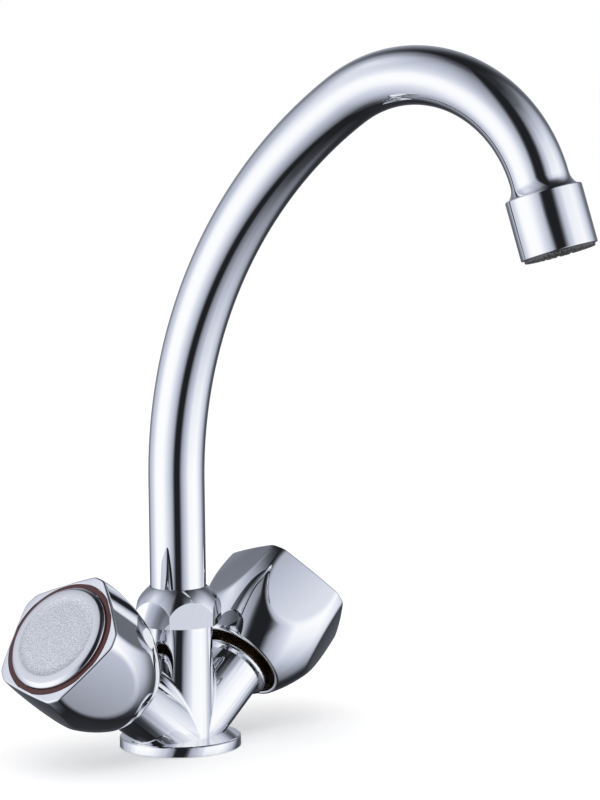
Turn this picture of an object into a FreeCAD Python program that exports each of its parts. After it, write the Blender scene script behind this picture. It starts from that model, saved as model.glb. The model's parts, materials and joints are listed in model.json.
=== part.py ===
"""Two handle kitchen mixer tap: foot casting with two slanting valves, swivel swan neck and knobs.

Frame: the origin is the centre of the foot's underside, +Z is up and -Y is the front, where the
spout points when it is square to the tap. The hot valve is on -X and the cold valve on +X.
Lengths are millimetres and angles are degrees.

Each valve is drawn upright on its own axis: zero is the point where the arm's axis meets the
column's axis, and heights are distances out along the arm.
"""
import FreeCAD, Part

import math
import os
import re

import Sketcher
from FreeCAD import Placement, Rotation, Vector

# Driving sizes: name, value, meaning
SIZES = [
    # foot casting
    ("flange_radius", 23.9, "round foot that covers the tap hole"),
    ("flange_thickness", 4.0, "foot, at its rim"),
    ("flange_edge", 0.5, "bevel round the top of the foot"),
    ("column_wall", 4.0, "centre column, round the mixing chamber"),
    ("mixing_floor_height", 18.5, "floor of the mixing chamber"),
    ("arm_radius", 12.9, "valve arm, outside"),
    ("arm_slope", 37.0, "rise of the arm above level"),
    ("arm_root_height", 2.8, "height where the arm's axis meets the column's"),
    ("arm_length", 39.3, "root to the machined mouth of the arm"),
    ("lip_radius", 15.0, "flared lip at the mouth"),
    ("lip_length", 1.8, "lip, along the arm"),
    ("blend_radius", 2.0, "fillet where the arms leave the column"),
    ("socket_radius", 9.6, "chamber round the valve"),
    ("seat_distance", 23.5, "root to the valve seat"),
    ("valve_thread_radius", 10.48, "G 1/2 thread of the valve"),
    ("valve_thread_length", 7.0, "threaded part of the arm's mouth"),
    ("port_radius", 3.5, "drilled way from the inlet to the seat"),
    ("port_depth", 10.0, "drilled way, below the seat"),
    ("outlet_way_radius", 2.5, "way from the valve chamber to the mixing chamber"),
    ("outlet_way_height", 26.0, "its centre above the deck"),
    ("outlet_way_reach", 19.0, "its end, from the column's axis"),
    ("inlet_offset", 9.5, "hose inlet, from the column's axis"),
    ("inlet_radius", 4.5, "core of the M10 x 1 hose thread"),
    ("inlet_depth", 8.0, "hose thread"),
    ("inlet_pilot_depth", 12.5, "drilled way above the hose thread"),
    ("stud_offset", 6.5, "fixing stud, behind the column's axis"),
    ("stud_radius", 3.4, "core of the M8 stud thread"),
    ("stud_depth", 11.0, "stud thread"),
    ("foot_seal_radius", 22.2, "seal under the foot, outside"),
    ("foot_seal_width", 2.8, "seal, across its ring"),
    ("foot_seal_height", 2.0, "seal, squeezed flush with the foot"),
    # spout and its union
    ("column_height", 55.5, "deck to the rim that carries the spout"),
    ("nut_wall", 2.2, "nut, between its thread and a flat"),
    ("slip_ring_height", 2.2, "plastic ring between the collar and the nut"),
    ("nut_height", 14.9, "nut"),
    ("nut_web", 4.2, "nut's top, over its cavity"),
    ("nut_dome_start", 5.4, "height of the corners' full hexagon"),
    ("nut_dome_radius", 20.0, "rounding over the nut's corners"),
    ("nut_foot_bevel", 0.8, "corners turned away at the foot of the nut"),
    ("nut_turn", 31.9, "a corner of the nut, from +X"),
    ("tube_radius", 11.0, "swan neck tube, outside"),
    ("tube_wall", 1.0, "tube's wall"),
    ("tube_rise", 105.1, "deck to the end of the upright stretch"),
    ("first_bend_radius", 181.2, "long lower bend"),
    ("first_bend_angle", 55.65, "its turn"),
    ("second_bend_radius", 53.3, "crook"),
    ("second_bend_angle", 107.05, "its turn"),
    ("tube_end_length", 4.8, "straight end"),
    ("spout_turn", 10.0, "spout swung from square towards +X at rest"),
    ("collar_step", 2.0, "collar of the tail, beyond the tube"),
    ("collar_play", 0.2, "collar inside the G 3/4 thread of the union"),
    ("collar_thickness", 1.5, "collar"),
    ("tail_length", 17.5, "tail below the collar"),
    ("tail_wall", 1.35, "tail, under its O-ring grooves"),
    ("spigot_length", 8.0, "tail inside the tube"),
    ("seal_groove_depth", 1.3, "O-ring groove in the tail"),
    ("seal_groove_width", 2.2, "O-ring groove in the tail"),
    ("upper_groove_drop", 4.0, "collar to the upper groove"),
    ("groove_spacing", 7.0, "upper to lower groove"),
    # outlet
    ("outlet_flare_step", 1.5, "flare at its widest, beyond the tube"),
    ("outlet_flare_length", 3.6, "flare over the tube's end"),
    ("outlet_flare_curve", 4.0, "hollow curve of the flare"),
    ("outlet_lap_wall", 0.2, "flare's thin upper edge"),
    ("outlet_thread_step", 1.0, "M24 x 1 thread, beyond the tube"),
    ("outlet_thread_length", 8.0, "thread"),
    ("outlet_bore_step", 0.5, "ledge that the tube's end stands on"),
    ("aerator_wall", 2.45, "aerator housing, outside its thread"),
    ("aerator_length", 22.4, "aerator housing"),
    ("aerator_edge", 0.5, "bevel at both ends"),
    ("aerator_lip", 1.15, "housing, round the core's lower ring"),
    ("core_ring_depth", 5.0, "ring's seat in the housing"),
    ("core_drop", 1.2, "core standing out below the housing"),
    ("core_wall", 1.2, "wall of the core"),
    ("washer_thickness", 1.6, "aerator washer"),
    ("screen_thickness", 0.8, "screen"),
    ("screen_hole_radius", 1.25, "hole in the screen"),
    ("screen_border", 1.35, "screen, outside its last holes"),
    # valve, out along the arm
    ("disc_radius", 7.6, "ceramic discs"),
    ("disc_thickness", 3.0, "ceramic discs"),
    ("disc_port_inner", 2.3, "disc port, inner edge"),
    ("disc_port_outer", 5.9, "disc port, outer edge"),
    ("disc_port_half_angle", 38.0, "half of a port's spread"),
    ("disc_seal_height", 2.4, "rubber seal under the fixed disc"),
    ("disc_seal_wall", 3.2, "seal, across its ring"),
    ("foot_height", 3.0, "round foot of the spindle"),
    ("drive_slot_depth", 1.2, "slot in the moving disc"),
    ("drive_slot_width", 4.2, "slot in the moving disc"),
    ("thrust_washer_height", 0.6, "slip washer over the spindle's foot"),
    ("stop_radius", 6.3, "inner edge of the housing's stop lug"),
    ("stop_height", 1.6, "stop lug, into the spindle's foot"),
    ("stop_half_width", 12.0, "half of the lug's spread, in degrees"),
    ("stop_travel", 90.0, "quarter turn between the stops, in degrees"),
    ("stop_play", 1.5, "play at each stop, in degrees"),
    ("housing_lower_radius", 8.8, "housing, below its thread"),
    ("housing_window_width", 9.0, "side window of the housing"),
    ("valve_washer_height", 0.8, "fibre washer under the hexagon"),
    ("valve_washer_radius", 12.8, "fibre washer, outside"),
    ("valve_across_flats", 24.0, "housing's hexagon"),
    ("valve_hex_height", 6.0, "housing's hexagon"),
    ("valve_neck_radius", 8.5, "housing above its hexagon"),
    ("valve_neck_height", 8.6, "housing above its hexagon"),
    ("spindle_radius", 5.0, "spindle in the housing"),
    ("spindle_groove_depth", 1.3, "O-ring groove of the spindle"),
    ("spindle_groove_width", 2.0, "O-ring groove of the spindle"),
    ("clip_thickness", 1.0, "spring clip on the spindle"),
    ("clip_radius", 6.8, "spring clip, outside"),
    ("clip_seat_radius", 4.2, "clip's groove in the spindle"),
    ("spline_radius", 4.0, "splined end of the spindle"),
    ("spline_length", 13.5, "splined end of the spindle"),
    ("spline_depth", 0.4, "groove between the spline's teeth"),
    ("spline_half_width", 0.45, "half of a groove's mouth"),
    ("spline_teeth", 20, "teeth round the spindle"),
    # knob, out along the arm
    ("rim_clearance", 2.6, "arm's mouth to the knob's rim"),
    ("knob_height", 40.5, "rim to face"),
    ("knob_rim_radius", 19.0, "open rim, outside"),
    ("knob_face_radius", 27.6, "face, over its corners"),
    ("knob_side_radius", 61.0, "barrel curve of the side"),
    ("knob_facets", 5, "flats round the knob"),
    ("facet_distance", 24.4, "axis to a flat, at the face"),
    ("facet_taper", 1.5, "flat's lean, wider towards the rim"),
    ("knob_edge", 0.6, "rounding of the face's edge"),
    ("facet_edge", 2.0, "rounding between the flats and the barrel"),
    ("knob_rim_wall", 1.3, "wall at the rim"),
    ("knob_cavity_radius", 21.8, "hollow of the knob"),
    ("knob_cavity_rise", 14.0, "rim to the hollow's full width"),
    ("knob_web", 3.2, "wall under the index cap"),
    ("hub_radius", 7.5, "hub in the knob"),
    ("bush_radius", 5.9, "plastic bush in the hub"),
    ("bush_roof", 1.5, "bush over the spindle's end"),
    ("screw_radius", 2.0, "M4 knob screw"),
    ("screw_grip", 9.0, "screw in the spindle"),
    ("screw_head_radius", 3.8, "knob screw's head"),
    ("screw_head_height", 2.4, "knob screw's head"),
    ("screw_slot_width", 1.0, "cross slot in the head"),
    ("ring_radius", 23.6, "coloured ring, outside"),
    ("ring_width", 1.8, "coloured ring, seen part"),
    ("ring_thickness", 1.2, "coloured ring"),
    ("cap_recess_depth", 3.0, "seat of the index cap below the face"),
    ("cap_rise", 3.7, "cap above the face"),
    ("cap_edge", 0.9, "rounding of the cap"),
    ("cap_border_fall", 0.25, "fall of the smooth border from the grained middle to the edge"),
    ("cap_wall", 1.4, "wall of the cap"),
    ("cap_dish_radius", 18.2, "grained middle of the cap"),
    ("cap_dish_depth", 0.15, "grained middle, below the border"),
    ("hot_knob_turn", 23.8, "first flat of the hot knob, shut"),
    ("cold_knob_turn", 17.9, "first flat of the cold knob, shut"),
    # clearances
    ("fit_gap", 0.05, "between pieces that sit in each other"),
    ("running_gap", 0.05, "between a turning piece and its bearing"),
    ("face_gap", 0.05, "film between turning faces"),
    ("thread_gap", 0.1, "between screwed pieces"),
]

# Places worked out from the sizes above: name, formula
PLACES = [
    ("collar_radius", "tube_radius + collar_step"),
    ("column_radius", "collar_radius + collar_play"),
    ("column_bore_radius", "column_radius - column_wall"),
    ("nut_flat_distance", "column_radius + nut_wall"),
    ("nut_corner_radius", "nut_flat_distance / cos(30)"),
    ("collar_bottom", "column_height + face_gap"),
    ("collar_top", "collar_bottom + collar_thickness"),
    ("nut_ceiling", "collar_top + face_gap + slip_ring_height"),
    ("nut_top_height", "nut_ceiling + nut_web"),
    ("nut_base_height", "nut_top_height - nut_height"),
    ("tail_radius", "column_bore_radius - running_gap"),
    ("tail_end", "collar_bottom - tail_length"),
    ("tube_bore_radius", "tube_radius - tube_wall"),
    ("upper_groove_height", "collar_bottom - upper_groove_drop"),
    ("lower_groove_height", "upper_groove_height - groove_spacing"),
    ("groove_floor_radius", "tail_radius - seal_groove_depth"),
    ("tail_bore_radius", "groove_floor_radius - tail_wall"),
    ("spout_slope_at_end", "first_bend_angle + second_bend_angle"),
    ("bend_one_reach", "first_bend_radius * (1 - cos(first_bend_angle))"),
    ("bend_one_height", "tube_rise + first_bend_radius * sin(first_bend_angle)"),
    ("bend_two_reach",
     "bend_one_reach + second_bend_radius * (cos(first_bend_angle) - cos(spout_slope_at_end))"),
    ("bend_two_height",
     "bend_one_height + second_bend_radius * (sin(spout_slope_at_end) - sin(first_bend_angle))"),
    ("tube_end_reach", "bend_two_reach + tube_end_length * sin(spout_slope_at_end)"),
    ("tube_end_height", "bend_two_height + tube_end_length * cos(spout_slope_at_end)"),
    ("outlet_flare_radius", "tube_radius + outlet_flare_step"),
    ("outlet_thread_radius", "tube_radius + outlet_thread_step"),
    ("outlet_bore_radius", "tube_bore_radius - outlet_bore_step"),
    ("aerator_radius", "outlet_thread_radius + aerator_wall"),
    ("core_ring_radius", "aerator_radius - aerator_lip"),
    ("core_radius", "outlet_thread_radius + thread_gap"),
    ("core_top", "outlet_thread_length + washer_thickness"),
    ("core_ring_start", "aerator_length - core_ring_depth"),
    ("core_end", "aerator_length + core_drop"),
    ("screen_start", "core_end - core_wall - screen_thickness"),
    ("screen_radius", "core_radius - fit_gap * 2 - core_wall"),
    ("screen_row_pitch", "(screen_radius - screen_border - screen_hole_radius) / 2"),
    ("disc_seal_top", "seat_distance + disc_seal_height"),
    ("fixed_disc_top", "disc_seal_top + disc_thickness"),
    ("moving_disc_bottom", "fixed_disc_top + face_gap"),
    ("moving_disc_top", "moving_disc_bottom + disc_thickness"),
    ("foot_top", "moving_disc_top + foot_height"),
    ("thrust_washer_top", "foot_top + thrust_washer_height"),
    ("housing_ceiling", "thrust_washer_top + face_gap"),
    ("stop_bottom", "foot_top - stop_height"),
    ("stop_notch_half_angle", "stop_half_width + stop_travel / 2 + stop_play"),
    ("housing_bore_radius", "disc_radius + running_gap"),
    ("valve_thread_start", "arm_length - valve_thread_length"),
    ("valve_washer_top", "arm_length + valve_washer_height"),
    ("valve_hex_top", "valve_washer_top + valve_hex_height"),
    ("valve_corner_radius", "valve_across_flats / 2 / cos(30)"),
    ("neck_top", "valve_hex_top + valve_neck_height"),
    ("spindle_groove_height", "valve_hex_top + valve_neck_height / 3"),
    ("clip_bottom", "neck_top + face_gap"),
    ("clip_top", "clip_bottom + clip_thickness"),
    ("spline_start", "clip_top + clip_thickness"),
    ("spindle_top", "spline_start + spline_length"),
    ("screw_tip", "spindle_top - screw_grip"),
    ("spindle_drill_end", "screw_tip - screw_radius / 2"),
    ("bush_start", "spline_start + clip_thickness"),
    ("bush_top", "spindle_top + face_gap + bush_roof"),
    ("hub_start", "bush_start - clip_thickness / 2"),
    ("knob_rim", "arm_length + rim_clearance"),
    ("knob_face", "knob_rim + knob_height"),
    ("cavity_full", "knob_rim + knob_cavity_rise"),
    ("cap_seat", "knob_face - cap_recess_depth"),
    ("cap_top", "knob_face + cap_rise"),
    ("cap_radius", "ring_radius - ring_width"),
    ("ring_seat", "knob_face - ring_thickness"),
    ("web_bottom", "cap_seat - knob_web"),
    ("screw_head_seat", "cap_seat - screw_head_height - fit_gap"),
    ("facet_outer", "knob_face_radius * 1.5"),
    ("facet_spread", "knob_height * tan(facet_taper)"),
]

doc = FreeCAD.newDocument("kitchen_mixer")


def make_sheet(title, rows, formula):
    """Spreadsheet of named cells: the name, the value under that alias, and a note."""
    sheet = doc.addObject("Spreadsheet::Sheet", title)
    for line, row in enumerate(rows, start=1):
        sheet.set(f"A{line}", row[0])
        sheet.set(f"B{line}", formula(row[1]))
        sheet.setAlias(f"B{line}", row[0])
        sheet.set(f"C{line}", row[-1])
    doc.recompute()
    return sheet


size_names = {row[0] for row in SIZES}


def bound(text):
    """Expression with every name tied to the sheet that holds it."""
    def tie(match):
        name = match.group(0)
        return ("Sizes." if name in size_names else "Places.") + name
    return re.sub(r"[a-z]+(?:_[a-z]+)+", tie, text)


sizes = make_sheet("Sizes", SIZES, str)
places = make_sheet("Places", PLACES, lambda text: "=" + bound(text))


def value(text):
    return float(places.evalExpression(bound(text)))


# Sketches -------------------------------------------------------------------------------------

def arc_between(start, end, radius):
    """Minor arc; a negative radius turns clockwise from start to end."""
    half = (end - start) / 2
    rise = math.sqrt(radius ** 2 - half.Length ** 2)
    left = Vector(-half.y, half.x, 0).normalize()
    centre = start + half + left * math.copysign(rise, radius)
    ends = (start, end) if radius > 0 else (end, start)
    angles = [math.atan2(point.y - centre.y, point.x - centre.x) for point in ends]
    return Part.ArcOfCircle(Part.Circle(centre, Vector(0, 0, 1), abs(radius)), *angles)


def draw(sketch, corners, closed=True):
    """Outline through corners given as (across, up), every number an expression.

    A third item makes the edge that leaves the corner an arc of that radius, clockwise if it
    starts with a minus sign.
    """
    points = [Vector(value(corner[0]), value(corner[1]), 0) for corner in corners]
    count = len(corners) if closed else len(corners) - 1
    first_of = {}
    for index in range(count):
        after = (index + 1) % len(corners)
        start, end = points[index], points[after]
        backwards = False
        if len(corners[index]) == 3:
            radius = corners[index][2]
            backwards = radius.startswith("-")
            edge = sketch.addGeometry(arc_between(start, end, value(radius)), False)
            limit = sketch.addConstraint(Sketcher.Constraint("Radius", edge, abs(value(radius))))
            sketch.setExpression(f"Constraints[{limit}]", bound(radius.lstrip("-")))
        else:
            edge = sketch.addGeometry(Part.LineSegment(start, end), False)
        start_end = (2, 1) if backwards else (1, 2)
        for corner, which in ((index, start_end[0]), (after, start_end[1])):
            if corner in first_of:
                sketch.addConstraint(Sketcher.Constraint("Coincident", edge, which, *first_of[corner]))
                continue
            first_of[corner] = (edge, which)
            for kind, text in (("DistanceX", corners[corner][0]), ("DistanceY", corners[corner][1])):
                held = sketch.addConstraint(
                    Sketcher.Constraint(kind, -1, 1, edge, which, value(text)))
                sketch.setExpression(f"Constraints[{held}]", bound(text))


def ring_of_points(radius, count, first_angle="0"):
    """Corners of a regular polygon."""
    step = 360 / count
    return [(f"{radius} * cos({first_angle} + {step * turn})",
             f"{radius} * sin({first_angle} + {step * turn})") for turn in range(count)]


def rectangle(left, bottom, right, top):
    return [(left, bottom), (right, bottom), (right, top), (left, top)]


# Solids ---------------------------------------------------------------------------------------

def new_body(label):
    body = doc.addObject("PartDesign::Body", label)
    body.Label = label
    return body


def origin_part(body, role):
    return next(item for item in body.Origin.OriginFeatures if item.Role == role)


def sketch_on(body, plane, lift="0", slant=None):
    """Sketch on one of the body's own planes, raised by lift, or laid along a slanting arm."""
    sketch = body.newObject("Sketcher::SketchObject", "Sketch")
    sketch.AttachmentSupport = [(origin_part(body, plane), "")]
    sketch.MapMode = "FlatFace"
    if slant:
        sketch.AttachmentOffset = Placement(Vector(0, value("arm_root_height"), 0),
                                            Rotation(Vector(0, 0, 1), value(slant)))
        sketch.setExpression("AttachmentOffset.Base.y", bound("arm_root_height"))
        sketch.setExpression("AttachmentOffset.Rotation.Angle", bound(slant))
    elif lift != "0":
        sketch.AttachmentOffset = Placement(Vector(0, 0, value(lift)), Rotation())
        sketch.setExpression("AttachmentOffset.Base.z", bound(lift))
    return sketch


def turned(body, corners, cut=False, slant=None):
    """Revolve an outline of (radius, height) about the body's axis, or about an arm's axis."""
    sketch = sketch_on(body, "XZ_Plane", slant=slant)
    draw(sketch, corners)
    feature = body.newObject("PartDesign::Groove" if cut else "PartDesign::Revolution", "Turn")
    feature.Profile = sketch
    feature.ReferenceAxis = (sketch, ["V_Axis"])
    feature.Angle = 360
    doc.recompute()
    return feature


def extruded(body, corners, length, plane="XY_Plane", lift="0", cut=False, both=False,
             reverse=False):
    """Pad or pocket an outline; a pocket goes below its sketch unless it is reversed."""
    sketch = sketch_on(body, plane, lift)
    draw(sketch, corners)
    feature = body.newObject("PartDesign::Pocket" if cut else "PartDesign::Pad", "Extrusion")
    feature.Profile = sketch
    feature.Length = value(length)
    feature.setExpression("Length", bound(length))
    feature.SideType = "Symmetric" if both else "One side"
    feature.Reversed = reverse
    doc.recompute()
    return feature


def drilled(body, radius, depth, across="0", along="0", plane="XY_Plane", lift="0",
            both=False, reverse=False):
    """Round hole at (across, along) of a plane."""
    sketch = sketch_on(body, plane, lift)
    circle = sketch.addGeometry(Part.Circle(Vector(value(across), value(along), 0),
                                            Vector(0, 0, 1), value(radius)), False)
    for kind, text in (("DistanceX", across), ("DistanceY", along)):
        held = sketch.addConstraint(Sketcher.Constraint(kind, -1, 1, circle, 3, value(text)))
        sketch.setExpression(f"Constraints[{held}]", bound(text))
    held = sketch.addConstraint(Sketcher.Constraint("Radius", circle, value(radius)))
    sketch.setExpression(f"Constraints[{held}]", bound(radius))
    feature = body.newObject("PartDesign::Pocket", "Hole")
    feature.Profile = sketch
    feature.Length = value(depth)
    feature.setExpression("Length", bound(depth))
    feature.SideType = "Symmetric" if both else "One side"
    feature.Reversed = reverse
    doc.recompute()
    return feature


def repeated(body, features, count):
    """Repeat features evenly round the body's axis."""
    pattern = body.newObject("PartDesign::PolarPattern", "Pattern")
    pattern.Originals = features
    pattern.Axis = (origin_part(body, "Z_Axis"), [""])
    pattern.Angle = 360
    pattern.Occurrences = int(value(count))
    body.Tip = pattern
    doc.recompute()
    return pattern


def meeting_edges(shape, first_radius, second_radius):
    """Names of the edges where cylinders of these two radii meet."""
    wanted = sorted([round(first_radius, 3), round(second_radius, 3)])
    names = []
    for number, edge in enumerate(shape.Edges, start=1):
        surfaces = [face.Surface for face in shape.ancestorsOfType(edge, Part.Face)]
        round_ones = [surface for surface in surfaces if isinstance(surface, Part.Cylinder)]
        if sorted(round(surface.Radius, 3) for surface in round_ones) == wanted:
            names.append(f"Edge{number}")
    return names


def edges_where(shape, wanted):
    """Names of the edges for which wanted(middle point, kinds of the faces that meet) is true."""
    names = []
    for number, edge in enumerate(shape.Edges, start=1):
        middle = edge.valueAt((edge.FirstParameter + edge.LastParameter) / 2)
        faces = shape.ancestorsOfType(edge, Part.Face)
        if wanted(middle, {type(face.Surface) for face in faces}):
            names.append(f"Edge{number}")
    return names


def filleted(body, edge_names, radius):
    before = body.Tip
    feature = body.newObject("PartDesign::Fillet", "Fillet")
    feature.Base = (before, edge_names)
    feature.Radius = value(radius)
    feature.setExpression("Radius", bound(radius))
    doc.recompute()
    return feature


def ring(label, inner, outer, bottom, top):
    body = new_body(label)
    turned(body, rectangle(inner, bottom, outer, top))
    return body


# Foot casting ---------------------------------------------------------------------------------

def make_casting():
    """Foot, column and arms in one casting, with its chambers, threads and drilled ways."""
    body = new_body("body_casting")
    turned(body, [
        ("0", "0"),
        ("flange_radius", "0"),
        ("flange_radius", "flange_thickness - flange_edge"),
        ("flange_radius - flange_edge", "flange_thickness"),
        ("column_radius", "flange_thickness"),
        ("column_radius", "column_height"),
        ("0", "column_height"),
    ])
    slants = ("90 - arm_slope", "arm_slope - 90")
    for slant in slants:
        turned(body, [
            ("0", "0"),
            ("arm_radius", "0"),
            ("arm_radius", "arm_length - lip_length"),
            ("lip_radius", "arm_length - lip_length + lip_radius / 30"),
            ("lip_radius", "arm_length"),
            ("0", "arm_length"),
        ], slant=slant)
    # the foot is machined flat: what the arms leave below it goes
    extruded(body, rectangle("-flange_radius * 2", "-flange_radius * 2",
                             "flange_radius * 2", "flange_radius * 2"),
             "flange_radius", cut=True)
    junctions = meeting_edges(body.Shape, value("column_radius"), value("arm_radius"))
    filleted(body, junctions, "blend_radius")
    for slant in slants:
        turned(body, [
            ("0", "seat_distance - port_depth"),
            ("port_radius", "seat_distance - port_depth"),
            ("port_radius", "seat_distance"),
            ("socket_radius", "seat_distance"),
            ("socket_radius", "valve_thread_start"),
            ("valve_thread_radius + thread_gap", "valve_thread_start"),
            ("valve_thread_radius + thread_gap", "arm_length + 1"),
            ("0", "arm_length + 1"),
        ], cut=True, slant=slant)
    turned(body, [
        ("0", "mixing_floor_height"),
        ("column_bore_radius", "mixing_floor_height"),
        ("column_bore_radius", "column_height + 1"),
        ("0", "column_height + 1"),
    ], cut=True)
    drilled(body, "outlet_way_radius", "outlet_way_reach * 2", along="outlet_way_height",
            plane="YZ_Plane", both=True)
    for side in ("-inlet_offset", "inlet_offset"):
        drilled(body, "inlet_radius", "inlet_depth", across=side, reverse=True)
        drilled(body, "port_radius", "inlet_pilot_depth", across=side, reverse=True)
    drilled(body, "stud_radius", "stud_depth", along="stud_offset", reverse=True)
    turned(body, rectangle("foot_seal_radius - foot_seal_width - fit_gap", "-1",
                           "foot_seal_radius + fit_gap", "foot_seal_height"), cut=True)
    return body


# Spout ----------------------------------------------------------------------------------------

def make_spout_nut():
    body = new_body("spout_nut")
    extruded(body, ring_of_points("nut_corner_radius", 6, "nut_turn"), "nut_height",
             lift="nut_base_height")
    # rounded crown: the hexagon's corners are turned away
    turned(body, [
        ("nut_corner_radius + 1", "nut_base_height + nut_dome_start"),
        ("nut_corner_radius + 1", "nut_top_height + 1"),
        ("tube_radius + thread_gap * 3", "nut_top_height + 1"),
        ("tube_radius + thread_gap * 3", "nut_top_height", "-nut_dome_radius"),
        ("nut_corner_radius", "nut_base_height + nut_dome_start"),
    ], cut=True)
    turned(body, [
        ("nut_flat_distance", "nut_base_height"),
        ("nut_flat_distance", "nut_base_height - 1"),
        ("nut_corner_radius + 1", "nut_base_height - 1"),
        ("nut_corner_radius + 1", "nut_base_height + nut_foot_bevel"),
    ], cut=True)
    turned(body, [
        ("0", "nut_base_height - 1"),
        ("column_radius + thread_gap", "nut_base_height - 1"),
        ("column_radius + thread_gap", "nut_ceiling"),
        ("tube_radius + thread_gap * 2", "nut_ceiling"),
        ("tube_radius + thread_gap * 2", "nut_top_height + 1"),
        ("0", "nut_top_height + 1"),
    ], cut=True)
    return body


def add_circle(sketch, radius):
    """Circle about the sketch's origin."""
    circle = sketch.addGeometry(Part.Circle(Vector(), Vector(0, 0, 1), value(radius)), False)
    sketch.addConstraint(Sketcher.Constraint("Coincident", circle, 3, -1, 1))
    held = sketch.addConstraint(Sketcher.Constraint("Radius", circle, value(radius)))
    sketch.setExpression(f"Constraints[{held}]", bound(radius))


def make_spout_tube():
    """Upright stretch, long bend, crook and straight end, hollow all the way."""
    body = new_body("spout_tube")
    path = sketch_on(body, "XZ_Plane")
    draw(path, [
        ("0", "collar_top"),
        ("0", "tube_rise", "-first_bend_radius"),
        ("bend_one_reach", "bend_one_height", "-second_bend_radius"),
        ("bend_two_reach", "bend_two_height"),
        ("tube_end_reach", "tube_end_height"),
    ], closed=False)
    section = sketch_on(body, "XY_Plane", lift="collar_top")
    for radius in ("tube_radius", "tube_bore_radius"):
        add_circle(section, radius)
    pipe = body.newObject("PartDesign::AdditivePipe", "Pipe")
    pipe.Profile = section
    pipe.Spine = path
    doc.recompute()
    return body


def make_spout_tail():
    """Brazed end of the spout: spigot in the tube, collar under the nut, sealed tail."""
    body = new_body("spout_tail")
    turned(body, [
        ("tail_bore_radius", "tail_end"),
        ("tail_radius", "tail_end"),
        ("tail_radius", "collar_bottom"),
        ("collar_radius", "collar_bottom"),
        ("collar_radius", "collar_top"),
        ("tube_bore_radius - fit_gap", "collar_top"),
        ("tube_bore_radius - fit_gap", "collar_top + spigot_length"),
        ("tail_bore_radius", "collar_top + spigot_length"),
    ])
    for height in ("upper_groove_height", "lower_groove_height"):
        turned(body, rectangle("groove_floor_radius", f"{height} - seal_groove_width",
                               "tail_radius + 1", height), cut=True)
    return body


def make_spout_seals():
    """The two O-rings, squeezed to the bore."""
    body = new_body("spout_seals")
    for height in ("upper_groove_height", "lower_groove_height"):
        turned(body, [
            ("groove_floor_radius + fit_gap", f"{height} - seal_groove_width + fit_gap * 4"),
            ("tail_radius - fit_gap", f"{height} - seal_groove_width + fit_gap * 4"),
            ("tail_radius", f"{height} - seal_groove_width + fit_gap * 10"),
            ("tail_radius", f"{height} - fit_gap * 10"),
            ("tail_radius - fit_gap", f"{height} - fit_gap * 4"),
            ("groove_floor_radius + fit_gap", f"{height} - fit_gap * 4"),
        ])
    return body


# Outlet, drawn with its height along the water's way from the tube's end ------------------------

def make_outlet():
    body = new_body("spout_outlet")
    turned(body, [
        ("tube_radius + fit_gap", "-outlet_flare_length"),
        ("tube_radius + outlet_lap_wall", "-outlet_flare_length", "-outlet_flare_curve"),
        ("outlet_flare_radius", "-fit_gap"),
        ("outlet_thread_radius", "-fit_gap"),
        ("outlet_thread_radius", "outlet_thread_length"),
        ("outlet_bore_radius", "outlet_thread_length"),
        ("outlet_bore_radius", "0"),
        ("tube_radius + fit_gap", "0"),
    ])
    return body


def make_aerator_housing():
    body = new_body("aerator_housing")
    turned(body, [
        ("core_radius", "0"),
        ("aerator_radius - aerator_edge", "0"),
        ("aerator_radius", "aerator_edge"),
        ("aerator_radius", "aerator_length - aerator_edge"),
        ("aerator_radius - aerator_edge", "aerator_length"),
        ("core_ring_radius + fit_gap", "aerator_length"),
        ("core_ring_radius + fit_gap", "core_ring_start"),
        ("core_radius", "core_ring_start"),
    ])
    return body


def make_aerator_core():
    """Cup that slows and mixes the water; its ring snaps into the housing from below."""
    body = new_body("aerator_core")
    turned(body, [
        ("core_radius - fit_gap - core_wall", "core_top"),
        ("core_radius - fit_gap", "core_top"),
        ("core_radius - fit_gap", "core_ring_start + fit_gap"),
        ("core_ring_radius", "core_ring_start + fit_gap"),
        ("core_ring_radius", "core_end - aerator_edge"),
        ("core_ring_radius - aerator_edge", "core_end"),
        ("core_radius - fit_gap - core_wall * 2", "core_end"),
        ("core_radius - fit_gap - core_wall * 2", "core_end - core_wall"),
        ("core_radius - fit_gap - core_wall", "core_end - core_wall"),
    ])
    return body


def make_aerator_screen():
    """Round screen on the core's ledge, with rings of 6 and 12 holes about a middle one."""
    body = new_body("aerator_screen")
    turned(body, rectangle("0", "screen_start", "screen_radius",
                           "screen_start + screen_thickness"))
    depth = "screen_thickness * 2"
    drilled(body, "screen_hole_radius", depth, lift="core_end")
    for row, count in ((1, 6), (2, 12)):
        hole = drilled(body, "screen_hole_radius", "core_end - screen_start + 1",
                       across=f"screen_row_pitch * {row}", lift="core_end")
        repeated(body, [hole], str(count))
    return body


# Valve, drawn with its height along the arm -----------------------------------------------------

def sector(inner, outer, half_angle, middle="0"):
    """Outline of part of a ring that spreads by half_angle to both sides of its middle."""
    ends = (f"({middle} - {half_angle})", f"({middle} + {half_angle})")
    return [
        (f"({inner}) * cos{ends[0]}", f"({inner}) * sin{ends[0]}"),
        (f"({outer}) * cos{ends[0]}", f"({outer}) * sin{ends[0]}", outer),
        (f"({outer}) * cos{ends[1]}", f"({outer}) * sin{ends[1]}"),
        (f"({inner}) * cos{ends[1]}", f"({inner}) * sin{ends[1]}", f"-({inner})"),
    ]


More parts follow.
